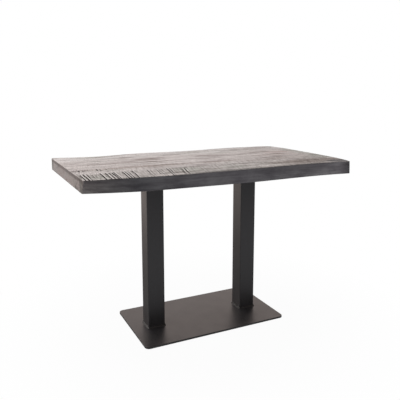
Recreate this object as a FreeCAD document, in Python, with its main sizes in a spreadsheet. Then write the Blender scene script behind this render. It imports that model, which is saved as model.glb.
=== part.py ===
import FreeCAD, Part
import math
import os
import Sketcher

# Restaurant table: a natural-edge plank top on two square steel columns and a flat base plate.
# Millimetres, +Z up. The origin is on the floor, midway between the columns.
# +X runs along the top's length, and the front edge faces -Y.

DRIVING_SIZES = (
    ("table_height", "770", "floor to the upper face of the top"),
    ("top_length", "1240", "top, end to end at its longest"),
    ("top_thickness", "55", "top, upper face to underside"),
    ("front_board_width", "195", "front board, from the widest line to its glue line"),
    ("second_board_width", "110", "second board"),
    ("middle_board_width", "115", "middle board"),
    ("fourth_board_width", "135", "fourth board"),
    ("back_board_width", "157", "back board, from its glue line to the widest line"),
    ("top_shift_along", "7", "top, its middle to the right of the columns' middle"),
    ("top_shift_across", "6", "top, its middle behind the columns' middle"),
    ("top_corner_radius", "8", "top, rounding of its four upright corners"),
    ("top_arris_radius", "2.5", "top, easing of its upper and lower edges"),
    ("plate_length", "700", "base plate, along the table"),
    ("plate_width", "400", "base plate, across the table"),
    ("plate_thickness", "8", "base plate"),
    ("plate_corner_radius", "20", "base plate, corner seen from above"),
    ("plate_edge_radius", "1", "base plate, easing of its upper edge"),
    ("column_spacing", "480", "between the columns' centre lines"),
    ("column_size", "80", "column tube, outside"),
    ("column_wall", "3", "column tube, wall"),
    ("column_corner_radius", "5", "column tube, outside corner"),
    ("weld_leg", "6", "fillet welds, leg"),
    ("weld_toe", "0.6", "fillet welds, flat left at each toe"),
    ("head_length", "560", "head plate, across the table"),
    ("head_width", "140", "head plate, along the table"),
    ("head_thickness", "5", "head plate"),
    ("head_corner_radius", "10", "head plate, corner"),
    ("screw_row_spacing", "112", "between the two rows of screws in a head plate"),
    ("screw_reach", "240", "outer screws, from the table's middle line"),
    ("screw_radius", "3", "wood screw, shank"),
    ("screw_length", "40", "wood screw, below its head"),
    ("screw_tip_length", "6", "wood screw, pointed end"),
    ("screw_head_radius", "6", "wood screw, head"),
    ("screw_head_height", "4", "wood screw, head"),
    ("screw_hole_play", "0.4", "head plate holes, radial room round the shank"),
    ("slot_travel", "12", "head plate slots, room for the top to swell and shrink"),
    ("pilot_play", "0.05", "holes in the wood, radial room round the shank"),
    ("pilot_end_room", "2", "holes in the wood, past the point"),
    ("washer_radius", "9", "washer, outside"),
    ("washer_thickness", "1.5", "washer"),
    ("glide_inset", "40", "glide centre, from the base plate's edges"),
    ("glide_pad_radius", "15", "glide pad, outside"),
    ("glide_pad_height", "4.7", "glide pad"),
    ("glide_pad_bevel", "1", "glide pad, bevel round its lower face"),
    ("glide_pad_floor", "1.2", "glide pad, under the stud's head"),
    ("stud_radius", "4", "levelling stud, nominal"),
    ("stud_head_radius", "7", "levelling stud, head"),
    ("stud_head_height", "2", "levelling stud, head"),
    ("stud_tip_bevel", "0.8", "levelling stud, bevel at its upper end"),
    ("stud_hole_depth", "6.5", "blind tapped hole in the base plate"),
    ("stud_end_room", "0.5", "between the stud's end and the hole's end"),
    ("thread_play", "0.05", "stud in its hole, radial"),
    ("moving_gap", "0.3", "between pieces that move past each other"),
    ("outline_spare", "10", "room round the outline when the boards are parted"),
)

# The outline of the top, as the tree grew: places along an edge as shares of the length or
# width, and how far the edge lies inside the longest or widest line there, in millimetres.
FRONT_UPPER = ((0, 50), (0.168, 28), (0.326, 13), (0.455, 13), (0.672, 24), (0.781, 27), (0.89, 24),
               (0.975, 9))
FRONT_LOWER = ((0, 84), (0.109, 45), (0.168, 30), (0.326, 16), (0.445, 9), (0.564, 6), (0.732, 13),
               (0.969, 0))
BACK_UPPER = ((0, 0), (0.07, 18), (0.155, 37), (0.24, 28), (0.35, 10), (0.5, 24), (0.62, 21), (0.77, 2),
              (0.9, 13), (0.955, 20), (0.981, 46))
BACK_LOWER = ((0, 0), (0.07, 13), (0.155, 30), (0.24, 22), (0.35, 4), (0.5, 17), (0.62, 15), (0.77, 0),
              (0.9, 7), (0.955, 14), (0.981, 40))
RIGHT_END = ((0.1, 14), (0.25, 3), (0.47, 0), (0.75, 1), (0.92, 8))

BOARDS = ("front_board", "second_board", "middle_board", "fourth_board", "back_board")
SIDES = (("left", -1), ("right", 1))
CORNERS = tuple((f"{row}_{side}", x, y) for row, y in (("front", -1), ("back", 1)) for side, x in SIDES)

# Heights and widths that follow from the driving sizes.
PLATE_UNDERSIDE = "sheet.glide_pad_height + sheet.moving_gap"
PLATE_TOPSIDE = f"{PLATE_UNDERSIDE} + sheet.plate_thickness"
TOP_UNDERSIDE = "sheet.table_height - sheet.top_thickness"
HEAD_UNDERSIDE = f"{TOP_UNDERSIDE} - sheet.head_thickness"
WASHER_UNDERSIDE = f"{HEAD_UNDERSIDE} - sheet.washer_thickness"
TOP_WIDTH = "(" + " + ".join(f"sheet.{board}_width" for board in BOARDS) + ")"
TOP_LEFT = "sheet.top_shift_along - sheet.top_length / 2"
TOP_RIGHT = "sheet.top_shift_along + sheet.top_length / 2"
TOP_FRONT = f"sheet.top_shift_across - {TOP_WIDTH} / 2"
TOP_BACK = f"sheet.top_shift_across + {TOP_WIDTH} / 2"
SCREW_HOLE_RADIUS = "sheet.screw_radius + sheet.screw_hole_play"

doc = FreeCAD.newDocument("restaurant_table")
sheet = doc.addObject("Spreadsheet::Sheet", "sheet")
for row, (alias, number, meaning) in enumerate(DRIVING_SIZES, start=1):
    sheet.set(f"A{row}", alias)
    sheet.set(f"B{row}", number)
    sheet.set(f"C{row}", meaning)
    sheet.setAlias(f"B{row}", alias)
doc.recompute()


def value(expression):
    """The number that an expression on the sheet stands for."""
    return float(sheet.evalExpression(expression))


def bind(feature, sizes):
    """Ties properties of a feature to expressions on the sheet."""
    for path, expression in sizes.items():
        feature.setExpression(path, expression)


def place(feature, x="0", y="0", z="0"):
    bind(feature, {"Placement.Base.x": x, "Placement.Base.y": y, "Placement.Base.z": z})


def new_body(label):
    body = doc.addObject("PartDesign::Body", label)
    body.Label = label
    return body


def new_sketch(body, name):
    """A sketch on the body's own ground plane."""
    sketch = body.newObject("Sketcher::SketchObject", f"{body.Name}_{name}")
    ground = next(plane for plane in body.Origin.OriginFeatures if plane.Role == "XY_Plane")
    sketch.AttachmentSupport = [(ground, "")]
    sketch.MapMode = "FlatFace"
    return sketch


def dimension(sketch, constraint, expression):
    """Adds a dimension and ties it to the sheet."""
    index = sketch.addConstraint(constraint)
    sketch.setExpression(f"Constraints[{index}]", expression)


def rounded_rectangle(sketch, length, width, radius):
    """A rounded rectangle about the sketch's origin: lines 0 to 3, then arcs 4 to 7, anticlockwise."""
    x = value(length) / 2
    y = value(width) / 2
    r = value(radius)
    corners = ((x - r, -y + r, -90), (x - r, y - r, 0), (-x + r, y - r, 90), (-x + r, -y + r, 180))
    runs = (((-x + r, -y), (x - r, -y)), ((x, -y + r), (x, y - r)),
            ((x - r, y), (-x + r, y)), ((-x, y - r), (-x, -y + r)))
    upward = FreeCAD.Vector(0, 0, 1)
    for start, end in runs:
        sketch.addGeometry(Part.LineSegment(FreeCAD.Vector(*start, 0), FreeCAD.Vector(*end, 0)))
    for centre_x, centre_y, turn in corners:
        circle = Part.Circle(FreeCAD.Vector(centre_x, centre_y, 0), upward, r)
        sketch.addGeometry(Part.ArcOfCircle(circle, math.radians(turn), math.radians(turn + 90)))
    for side in range(4):
        arc = side + 4
        following = (side + 1) % 4
        sketch.addConstraint(Sketcher.Constraint("Tangent", side, 2, arc, 1))
        sketch.addConstraint(Sketcher.Constraint("Tangent", arc, 2, following, 1))
    for side, direction in ((0, "Horizontal"), (1, "Vertical"), (2, "Horizontal"), (3, "Vertical")):
        sketch.addConstraint(Sketcher.Constraint(direction, side))
    for arc in (5, 6, 7):
        sketch.addConstraint(Sketcher.Constraint("Equal", 4, arc))
    sketch.addConstraint(Sketcher.Constraint("Symmetric", 0, 1, 2, 1, -1, 1))
    dimension(sketch, Sketcher.Constraint("Radius", 4, r), radius)
    dimension(sketch, Sketcher.Constraint("DistanceX", 3, 1, 1, 1, 2 * x), length)
    dimension(sketch, Sketcher.Constraint("DistanceY", 0, 1, 2, 1, 2 * y), width)


def round_hole(sketch, x, y, radius):
    """A circle at a place given by expressions, measured from the sketch's origin."""
    centre = FreeCAD.Vector(value(x), value(y), 0)
    index = sketch.addGeometry(Part.Circle(centre, FreeCAD.Vector(0, 0, 1), value(radius)))
    dimension(sketch, Sketcher.Constraint("Radius", index, value(radius)), radius)
    dimension(sketch, Sketcher.Constraint("DistanceX", -1, 1, index, 3, centre.x), x)
    if value(y) == 0:
        sketch.addConstraint(Sketcher.Constraint("PointOnObject", index, 3, -1))
    else:
        dimension(sketch, Sketcher.Constraint("DistanceY", -1, 1, index, 3, centre.y), y)


def slot_hole(sketch, x, y, radius, travel):
    """A slot along Y: two half circles, the width of a round hole, whose centres lie travel apart."""
    r = value(radius)
    half = value(travel) / 2
    middle = FreeCAD.Vector(value(x), value(y), 0)
    upward = FreeCAD.Vector(0, 0, 1)
    far = Part.Circle(middle + FreeCAD.Vector(0, half, 0), upward, r)
    near = Part.Circle(middle - FreeCAD.Vector(0, half, 0), upward, r)
    far_end = sketch.addGeometry(Part.ArcOfCircle(far, 0, math.pi))
    near_end = sketch.addGeometry(Part.ArcOfCircle(near, math.pi, 2 * math.pi))
    left_side = sketch.addGeometry(Part.LineSegment(middle + FreeCAD.Vector(-r, half, 0),
                                                    middle + FreeCAD.Vector(-r, -half, 0)))
    right_side = sketch.addGeometry(Part.LineSegment(middle + FreeCAD.Vector(r, -half, 0),
                                                     middle + FreeCAD.Vector(r, half, 0)))
    for first, second in ((far_end, left_side), (left_side, near_end), (near_end, right_side),
                          (right_side, far_end)):
        sketch.addConstraint(Sketcher.Constraint("Tangent", first, 2, second, 1))
    sketch.addConstraint(Sketcher.Constraint("Vertical", left_side))
    dimension(sketch, Sketcher.Constraint("Radius", far_end, r), radius)
    dimension(sketch, Sketcher.Constraint("DistanceX", -1, 1, near_end, 3, middle.x), x)
    dimension(sketch, Sketcher.Constraint("DistanceY", near_end, 3, far_end, 3, 2 * half), travel)
    dimension(sketch, Sketcher.Constraint("DistanceY", -1, 1, near_end, 3, middle.y - half),
              f"{y} - ({travel}) / 2")


def pad(body, sketch, height):
    feature = body.newObject("PartDesign::Pad", f"{sketch.Name}_pad")
    feature.Profile = sketch
    bind(feature, {"Length": height})
    doc.recompute()
    return feature


def pocket(body, sketch, depth):
    """Cuts up from the ground plane into the body."""
    before = body.Shape.Volume
    feature = body.newObject("PartDesign::Pocket", f"{sketch.Name}_pocket")
    feature.Profile = sketch
    feature.Reversed = True
    bind(feature, {"Length": depth})
    doc.recompute()
    assert body.Shape.Volume < before, f"{body.Label}: the pocket cuts nothing"
    return feature


def round_edges(body, base, radius, wanted):
    """Rounds the edges of the last feature that a test picks out."""
    names = [f"Edge{index}" for index, edge in enumerate(base.Shape.Edges, start=1) if wanted(edge)]
    feature = body.newObject("PartDesign::Fillet", f"{body.Name}_rounding")
    feature.Base = (base, names)
    bind(feature, {"Radius": radius})
    doc.recompute()


def at_height(expression):
    """Picks edges that lie level at a height in the body's own frame."""
    height = value(expression)
    return lambda edge: all(abs(vertex.Z - height) < 1e-6 for vertex in edge.Vertexes)


def make_base_plate():
    body = new_body("base_plate")
    outline = new_sketch(body, "outline")
    rounded_rectangle(outline, "sheet.plate_length", "sheet.plate_width", "sheet.plate_corner_radius")
    pad(body, outline, "sheet.plate_thickness")
    holes = new_sketch(body, "stud_holes")
    for name, x, y in CORNERS:
        round_hole(holes, f"{x} * (sheet.plate_length / 2 - sheet.glide_inset)",
                   f"{y} * (sheet.plate_width / 2 - sheet.glide_inset)", "sheet.stud_radius")
    drilled = pocket(body, holes, "sheet.stud_hole_depth")
    round_edges(body, drilled, "sheet.plate_edge_radius", at_height("sheet.plate_thickness"))
    place(body, z=PLATE_UNDERSIDE)
    return body


def make_column(side, x):
    body = new_body(f"{side}_column")
    section = new_sketch(body, "section")
    inside = "sheet.column_size - 2 * sheet.column_wall"
    rounded_rectangle(section, "sheet.column_size", "sheet.column_size", "sheet.column_corner_radius")
    length = f"{HEAD_UNDERSIDE} - ({PLATE_TOPSIDE})"
    pad(body, section, length)
    hollow = new_sketch(body, "hollow")
    rounded_rectangle(hollow, inside, inside, "sheet.column_corner_radius - sheet.column_wall")
    pocket(body, hollow, length)
    place(body, x=f"{x} * sheet.column_spacing / 2", z=PLATE_TOPSIDE)
    return body


def make_weld(side, x, end):
    """A convex fillet bead round the column, on the base plate or, turned over, under the head plate."""
    body = new_body(f"{side}_{end}_weld")
    toe = new_sketch(body, "toe")
    reach = "sheet.column_size + 2 * sheet.weld_leg"
    rounded_rectangle(toe, reach, reach, "sheet.column_corner_radius + sheet.weld_leg")
    bead = pad(body, toe, "sheet.weld_leg")
    round_edges(body, bead, "sheet.weld_leg - sheet.weld_toe", at_height("sheet.weld_leg"))
    column = new_sketch(body, "column")
    rounded_rectangle(column, "sheet.column_size", "sheet.column_size", "sheet.column_corner_radius")
    pocket(body, column, "sheet.weld_leg")
    if end == "head":
        body.Placement.Rotation = FreeCAD.Rotation(FreeCAD.Vector(1, 0, 0), 180)
    place(body, x=f"{x} * sheet.column_spacing / 2", z=PLATE_TOPSIDE if end == "foot" else HEAD_UNDERSIDE)
    return body


def make_head_plate(side, x):
    """Crosses the boards under the top. The middle screws are fixed and the outer ones slide in slots."""
    body = new_body(f"{side}_head_plate")
    outline = new_sketch(body, "outline")
    rounded_rectangle(outline, "sheet.head_width", "sheet.head_length", "sheet.head_corner_radius")
    pad(body, outline, "sheet.head_thickness")
    holes = new_sketch(body, "holes")
    for row in (-1, 1):
        row_x = f"{row} * sheet.screw_row_spacing / 2"
        round_hole(holes, row_x, "0", SCREW_HOLE_RADIUS)
        for reach in (-1, 1):
            slot_hole(holes, row_x, f"{reach} * sheet.screw_reach", SCREW_HOLE_RADIUS, "sheet.slot_travel")
    pocket(body, holes, "sheet.head_thickness")
    place(body, x=f"{x} * sheet.column_spacing / 2", z=HEAD_UNDERSIDE)
    return body


def screw_places():
    """The middle of each screw hole, seen from above."""
    for side, x in SIDES:
        for row in (-1, 1):
            for reach in (-1, 0, 1):
                yield (x * value("sheet.column_spacing") / 2 + row * value("sheet.screw_row_spacing") / 2,
                       reach * value("sheet.screw_reach"))


def group(label, one):
    """Copies of one shape at every screw's place, as separate solids of one object."""
    copies = [one.translated(FreeCAD.Vector(x, y, 0)) for x, y in screw_places()]
    feature = doc.addObject("Part::Feature", label)
    feature.Label = label
    feature.Shape = Part.makeCompound(copies)
    feature.Placement = FreeCAD.Placement()
    return feature


def turned(profile):
    """A solid of revolution about Z from its half section in the XZ plane."""
    wire = Part.makePolygon([FreeCAD.Vector(x, 0, z) for x, z in profile + profile[:1]])
    return Part.Face(wire).revolve(FreeCAD.Vector(), FreeCAD.Vector(0, 0, 1), 360)


def make_screws():
    seat = value(WASHER_UNDERSIDE)
    crown = seat - value("sheet.screw_head_height")
    tip = seat + value("sheet.screw_length")
    shank = value("sheet.screw_radius")
    head = value("sheet.screw_head_radius")
    shoulder = (seat + crown) / 2
    point = tip - value("sheet.screw_tip_length")
    flat = (head + shank) / 2
    head_section = [(0, crown), (flat, crown), (head, shoulder), (head, seat)]
    shank_section = [(shank, seat), (shank, point), (0, tip)]
    return group("top_screws", turned(head_section + shank_section))


def make_washers():
    under = value(WASHER_UNDERSIDE)
    over = value(HEAD_UNDERSIDE)
    inner = value(SCREW_HOLE_RADIUS)
    outer = value("sheet.washer_radius")
    return group("top_screw_washers", turned([(inner, under), (outer, under), (outer, over), (inner, over)]))


def make_pilot_holes():
    """The holes that the screws make in the wood."""
    under = value(TOP_UNDERSIDE)
    end = value(WASHER_UNDERSIDE) + value("sheet.screw_length") + value("sheet.pilot_end_room")
    radius = value("sheet.screw_radius") + value("sheet.pilot_play")
    return group("pilot_holes", turned([(0, under), (radius, under), (radius, end), (0, end)]))


def grown_edge(stations, side, height):
    """Points of a long edge of the top, at one height. Side is -1 for the front and 1 for the back."""
    left = value(TOP_LEFT)
    length = value("sheet.top_length")
    widest = value(TOP_FRONT if side < 0 else TOP_BACK)
    return [FreeCAD.Vector(left + share * length, widest - side * inset, height) for share, inset in stations]


def curve_through(points):
    curve = Part.BSplineCurve()
    curve.interpolate(points)
    return curve.toShape()


def top_outline(front_stations, back_stations, height):
    front = grown_edge(front_stations, -1, height)
    back = grown_edge(back_stations, 1, height)
    right = value(TOP_RIGHT)
    low = front[-1]
    span = back[-1] - low
    bow = [FreeCAD.Vector(right - inset, low.y + share * span.y, height) for share, inset in RIGHT_END]
    return Part.Wire([curve_through(front), curve_through([low] + bow + [back[-1]]),
                      curve_through(back[::-1]), Part.makeLine(back[0], front[0])])


def make_slab():
    """The glued-up top before it is shown as boards, with leaning natural edges and eased corners."""
    lower = top_outline(FRONT_LOWER, BACK_LOWER, value(TOP_UNDERSIDE))
    upper = top_outline(FRONT_UPPER, BACK_UPPER, value("sheet.table_height"))
    slab = Part.makeLoft([lower, upper], True, True)
    upright = [edge for edge in slab.Edges if abs(edge.Vertexes[0].Z - edge.Vertexes[-1].Z) > 1]
    slab = slab.makeFillet(value("sheet.top_corner_radius"), upright)
    level = [edge for edge in slab.Edges if abs(edge.Vertexes[0].Z - edge.Vertexes[-1].Z) < 1e-3]
    slab = slab.makeFillet(value("sheet.top_arris_radius"), level)
    feature = doc.addObject("Part::Feature", "slab")
    feature.Shape = slab
    feature.Placement = FreeCAD.Placement()
    return feature


def make_boards(slab, pilot_holes):
    """Parts the slab at its glue lines and drills the screw holes."""
    boards = []
    glue_line = TOP_FRONT
    for board in BOARDS:
        front_spare = "sheet.outline_spare" if board == BOARDS[0] else "0"
        back_spare = "sheet.outline_spare" if board == BOARDS[-1] else "0"
        strip = doc.addObject("Part::Box", f"{board}_strip")
        bind(strip, {"Length": "sheet.top_length + 2 * sheet.outline_spare",
                     "Width": f"sheet.{board}_width + {front_spare} + {back_spare}",
                     "Height": "sheet.top_thickness + 2 * sheet.outline_spare"})
        place(strip, x=f"{TOP_LEFT} - sheet.outline_spare", y=f"{glue_line} - {front_spare}",
              z=f"{TOP_UNDERSIDE} - sheet.outline_spare")
        plank = doc.addObject("Part::Common", f"{board}_plank")
        plank.Base = slab
        plank.Tool = strip
        drilled = doc.addObject("Part::Cut", board)
        drilled.Base = plank
        drilled.Tool = pilot_holes
        drilled.Label = board
        boards.append(drilled)
        glue_line = f"{glue_line} + sheet.{board}_width"
    return boards


def cylinder(name, radius, height, z="0"):
    feature = doc.addObject("Part::Cylinder", name)
    bind(feature, {"Radius": radius, "Height": height})
    place(feature, z=z)
    return feature


def cone(name, lower_radius, upper_radius, height, z="0"):
    feature = doc.addObject("Part::Cone", name)
    bind(feature, {"Radius1": lower_radius, "Radius2": upper_radius, "Height": height})
    place(feature, z=z)
    return feature


def combine(kind, name, base, tool):
    feature = doc.addObject(kind, name)
    feature.Base = base
    feature.Tool = tool
    return feature


def place_at_corner(feature, x, y):
    place(feature, x=f"{x} * (sheet.plate_length / 2 - sheet.glide_inset)",
          y=f"{y} * (sheet.plate_width / 2 - sheet.glide_inset)")


def make_glide_pad(corner, x, y):
    """A round pad that stands on the floor. Its lip holds the stud's head, which turns inside it."""
    label = f"glide_pad_{corner}"
    bevel = "sheet.glide_pad_bevel"
    foot = cone(f"{label}_foot", f"sheet.glide_pad_radius - {bevel}", "sheet.glide_pad_radius", bevel)
    disc = cylinder(f"{label}_disc", "sheet.glide_pad_radius", f"sheet.glide_pad_height - {bevel}", z=bevel)
    blank = combine("Part::Fuse", f"{label}_blank", foot, disc)
    seat = cylinder(f"{label}_seat", "sheet.stud_head_radius + sheet.moving_gap",
                    "sheet.stud_head_height + 2 * sheet.moving_gap", z="sheet.glide_pad_floor")
    mouth = cylinder(f"{label}_mouth", "sheet.stud_radius + sheet.moving_gap", "sheet.glide_pad_height",
                     z="sheet.glide_pad_floor")
    hollow = combine("Part::Fuse", f"{label}_hollow", seat, mouth)
    shell = combine("Part::Cut", label, blank, hollow)
    shell.Label = label
    place_at_corner(shell, x, y)
    return shell


def make_glide_stud(corner, x, y):
    """A stud that screws up into the base plate, with a flat head held in the pad."""
    label = f"glide_stud_{corner}"
    radius = "sheet.stud_radius - sheet.thread_play"
    low = "sheet.glide_pad_floor + sheet.moving_gap"
    end = f"{PLATE_UNDERSIDE} + sheet.stud_hole_depth - sheet.stud_end_room"
    head = cylinder(f"{label}_head", "sheet.stud_head_radius", "sheet.stud_head_height", z=low)
    neck = f"{low} + sheet.stud_head_height"
    shank = cylinder(f"{label}_shank", radius, f"{end} - sheet.stud_tip_bevel - ({neck})", z=neck)
    tip = cone(f"{label}_tip", radius, f"{radius} - sheet.stud_tip_bevel", "sheet.stud_tip_bevel",
               z=f"{end} - sheet.stud_tip_bevel")
    rod = combine("Part::Fuse", f"{label}_rod", shank, tip)
    stud = combine("Part::Fuse", label, head, rod)
    stud.Label = label
    place_at_corner(stud, x, y)
    return stud


nodes = [make_base_plate()]
for side, x in SIDES:
    nodes += [make_column(side, x), make_head_plate(side, x)]
    nodes += [make_weld(side, x, end) for end in ("foot", "head")]
nodes += make_boards(make_slab(), make_pilot_holes())
nodes += [make_screws(), make_washers()]
for corner, x, y in CORNERS:
    nodes += [make_glide_pad(corner, x, y), make_glide_stud(corner, x, y)]
doc.recompute()

for feature in doc.Objects:
    assert not {"Invalid", "Error"} & set(feature.State), f"{feature.Label}: {feature.State}"
for node in nodes:
    assert not node.Shape.isNull() and node.Shape.isValid(), f"{node.Label}: bad shape"
    assert node.Shape.Solids, f"{node.Label}: no solid"
os.makedirs("parts", exist_ok=True)
for node in nodes:
    node.Shape.exportStep(f"parts/{node.Label}.step")
    box = node.Shape.optimalBoundingBox(False, False)
    print(f"{node.Label}: {len(node.Shape.Solids)} solid, x {box.XMin:.2f} to {box.XMax:.2f}, "
          f"y {box.YMin:.2f} to {box.YMax:.2f}, z {box.ZMin:.2f} to {box.ZMax:.2f}")
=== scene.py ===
# %% [markdown]
# A restaurant table in Blender
#
# The table is a thick top of five sawn planks on a black steel pedestal: a flat base plate, two square
# columns and two head plates that the top is screwed to. Four levelling glides stand under the base plate.
# The construction is already solid geometry, loaded here as a fixed frame in metres. This lesson gives each
# piece the shape and finish that the eye looks for: saw marks, wood grain, powder coat, weld ripples,
# threads.

# %% Load the frame
import math
from contextlib import contextmanager

import bpy
import numpy as np
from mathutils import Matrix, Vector


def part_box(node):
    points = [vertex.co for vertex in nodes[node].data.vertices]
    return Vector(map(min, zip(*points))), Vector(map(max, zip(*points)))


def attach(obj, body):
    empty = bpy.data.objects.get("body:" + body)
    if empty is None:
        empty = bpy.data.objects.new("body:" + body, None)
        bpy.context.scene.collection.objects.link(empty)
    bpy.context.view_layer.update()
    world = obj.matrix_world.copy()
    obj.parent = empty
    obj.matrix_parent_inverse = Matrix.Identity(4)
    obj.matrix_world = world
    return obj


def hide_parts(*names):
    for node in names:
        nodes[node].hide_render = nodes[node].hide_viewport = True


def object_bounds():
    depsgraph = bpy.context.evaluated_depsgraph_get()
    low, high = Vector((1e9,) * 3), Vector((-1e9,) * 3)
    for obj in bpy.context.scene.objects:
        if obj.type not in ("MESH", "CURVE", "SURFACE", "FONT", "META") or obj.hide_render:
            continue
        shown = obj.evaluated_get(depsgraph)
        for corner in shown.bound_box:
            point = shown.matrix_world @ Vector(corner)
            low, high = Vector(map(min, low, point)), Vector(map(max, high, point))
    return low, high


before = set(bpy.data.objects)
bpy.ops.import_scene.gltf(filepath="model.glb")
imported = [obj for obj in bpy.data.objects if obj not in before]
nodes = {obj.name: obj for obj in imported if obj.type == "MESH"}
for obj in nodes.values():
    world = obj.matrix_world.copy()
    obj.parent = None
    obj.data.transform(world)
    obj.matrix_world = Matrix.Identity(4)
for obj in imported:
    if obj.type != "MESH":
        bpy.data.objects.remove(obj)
cad_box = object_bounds()
MM = 0.001
print("nodes:", len(nodes), "box:", [tuple(round(n, 4) for n in corner) for corner in cad_box])

# %% [markdown]
# Working by hand, in code
#
# Blender's operators act on what is selected, just as they do under the mouse. So every step below first
# selects one piece and nothing else, goes into edit mode, works, and comes out again. A context manager
# does the going in and out, so that no step can leave edit mode open behind it.

# %% Selecting and editing
BY_POINT, BY_FACE = (True, False, False), (False, False, True)


def select_only(*pieces):
    """Selects these pieces and nothing else, and makes the first one active."""
    bpy.ops.object.select_all(action="DESELECT")
    for piece in pieces:
        piece.select_set(True)
    bpy.context.view_layer.objects.active = pieces[0]


@contextmanager
def editing(piece):
    """Edit mode on one piece, left again at the end."""
    select_only(piece)
    bpy.ops.object.mode_set(mode="EDIT")
    yield
    bpy.ops.object.mode_set(mode="OBJECT")


def select_faces(piece, wanted):
    """Selects, in object mode, the faces whose centre and normal pass the test."""
    bpy.context.tool_settings.mesh_select_mode = BY_FACE
    mesh = piece.data
    mesh.vertices.foreach_set("select", [False] * len(mesh.vertices))
    mesh.edges.foreach_set("select", [False] * len(mesh.edges))
    mesh.polygons.foreach_set("select", [wanted(face.center, face.normal) for face in mesh.polygons])


def select_points(piece, wanted):
    """Selects, in object mode, the points whose place passes the test."""
    bpy.context.tool_settings.mesh_select_mode = BY_POINT
    mesh = piece.data
    mesh.polygons.foreach_set("select", [False] * len(mesh.polygons))
    mesh.edges.foreach_set("select", [False] * len(mesh.edges))
    mesh.vertices.foreach_set("select", [wanted(point.co) for point in mesh.vertices])


def points_of(piece):
    """The corner points of a mesh, one row of x, y, z each, in metres."""
    points = np.empty(len(piece.data.vertices) * 3, np.float32)
    piece.data.vertices.foreach_get("co", points)
    return points.reshape(-1, 3)


def copy_of_node(node, name):
    """A new piece with the shape of a node, its loose triangles merged into one closed skin."""
    piece = bpy.data.objects.new(name, nodes[node].data.copy())
    bpy.context.scene.collection.objects.link(piece)
    with editing(piece):
        bpy.ops.mesh.customdata_custom_splitnormals_clear()
        bpy.ops.mesh.select_all(action="SELECT")
        bpy.ops.mesh.remove_doubles(threshold=0.01 * MM)
    return piece


print("helpers ready, nodes to dress:", ", ".join(sorted(nodes)))

# %% [markdown]
# The camera
#
# The photograph was taken from the front left, a little above the top, with a normal lens. The middle of
# the lens lies above the middle of the picture, and a lens shift gives that here. It keeps the columns
# almost parallel, where tilting the camera further would make them lean in. The values come from a fit to
# the straight edges of the columns and the base plate, and then to the outline of the top as well.

# %% Place the camera
PICTURE = 400
FOCAL_PIXELS = 497.13
OPTICAL_CENTRE_ROW = 165.77
CAMERA_PLACE = (-1.00419, -2.05941, 1.09565)
CAMERA_YAW, CAMERA_PITCH = 25.98, 8.78

lens = bpy.data.cameras.new("camera")
lens.sensor_width = 36
lens.lens = FOCAL_PIXELS / PICTURE * lens.sensor_width
lens.shift_y = (OPTICAL_CENTRE_ROW - PICTURE / 2) / PICTURE
camera = bpy.data.objects.new("camera", lens)
camera.location = CAMERA_PLACE
camera.rotation_euler = (math.radians(90 - CAMERA_PITCH), 0, math.radians(-CAMERA_YAW))
bpy.context.scene.collection.objects.link(camera)
bpy.context.scene.camera = camera
print("lens:", round(lens.lens, 2), "mm, shift:", round(lens.shift_y, 4))

# %% [markdown]
# Colours and nodes
#
# A colour is written as the hex value that a picture editor shows, and one function turns it into the
# linear light that Blender computes with. A second small function adds any node: it sets the node's
# options, and for each input it either makes a link or fills in a value. Everything about materials below
# uses just these two.

# %% Colour and node helpers
def colour(hex_text):
    """An sRGB hex value as linear light."""
    shares = [int(hex_text[place:place + 2], 16) / 255 for place in (1, 3, 5)]
    light = [share / 12.92 if share <= 0.04045 else ((share + 0.055) / 1.055) ** 2.4 for share in shares]
    return (*light, 1.0)


def add(tree, kind, inputs=None, stops=None, **options):
    """Adds a node with its options, its inputs as links or values, and the stops of a ramp."""
    node = tree.nodes.new("ShaderNode" + kind)
    for name, option in options.items():
        setattr(node, name, option)
    for name, given in (inputs or {}).items():
        if isinstance(given, bpy.types.NodeSocket):
            tree.links.new(given, node.inputs[name])
        else:
            node.inputs[name].default_value = given
    if stops:
        elements = node.color_ramp.elements
        while len(elements) < len(stops):
            elements.new(1.0)
        for element, (place, shade) in zip(elements, stops):
            element.position = place
            element.color = shade
    return node


def new_material(name):
    """An empty node material, and its tree."""
    material = bpy.data.materials.new(name)
    material.use_nodes = True
    material.node_tree.nodes.clear()
    return material, material.node_tree


print("mid grey #808080 is", round(colour("#808080")[0], 3), "in linear light")

# %% [markdown]
# The studio
#
# The table stands on a plain pale floor under soft light. A large lamp overhead lights the top, and a
# second one behind it at the left models the ends of the planks and the left faces of the columns. The
# world fills in the rest. Where the camera looks past the table, Light Path makes the world plain white, so
# that no extra light has to fall on the table. Reflections see the same backdrop, a little warmer, and
# dimmer on the side of the camera. The floor glows for the camera in the same way and still takes the
# table's shadow. For reflections alone it has tones of its own, in rows from front to back, chosen for
# what the columns' faces mirror.

# %% Floor, world and lamps
WHITE = (1.0, 1.0, 1.0, 1.0)
WARM_WHITE = colour("#FFEFE8")
FLOOR_SIZE = 60.0
FILL_LIGHT = 0.52
DIM_SIDE = {"From Min": -0.4, "From Max": 0.3, "To Min": 0.25, "To Max": 1.0}
GLOW_FOR_CAMERA = {"From Min": 0.45, "From Max": 1.1, "To Min": 0.965, "To Max": 1.0}
MIRRORED_ROWS = {"From Min": -5.0, "From Max": 5.0}
MIRRORED_TONES = ((0.10, colour("#818183")), (0.40, colour("#C2C2C6")), (0.52, colour("#7B7876")),
                  (0.62, colour("#9F9791")), (0.80, WARM_WHITE))

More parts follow.
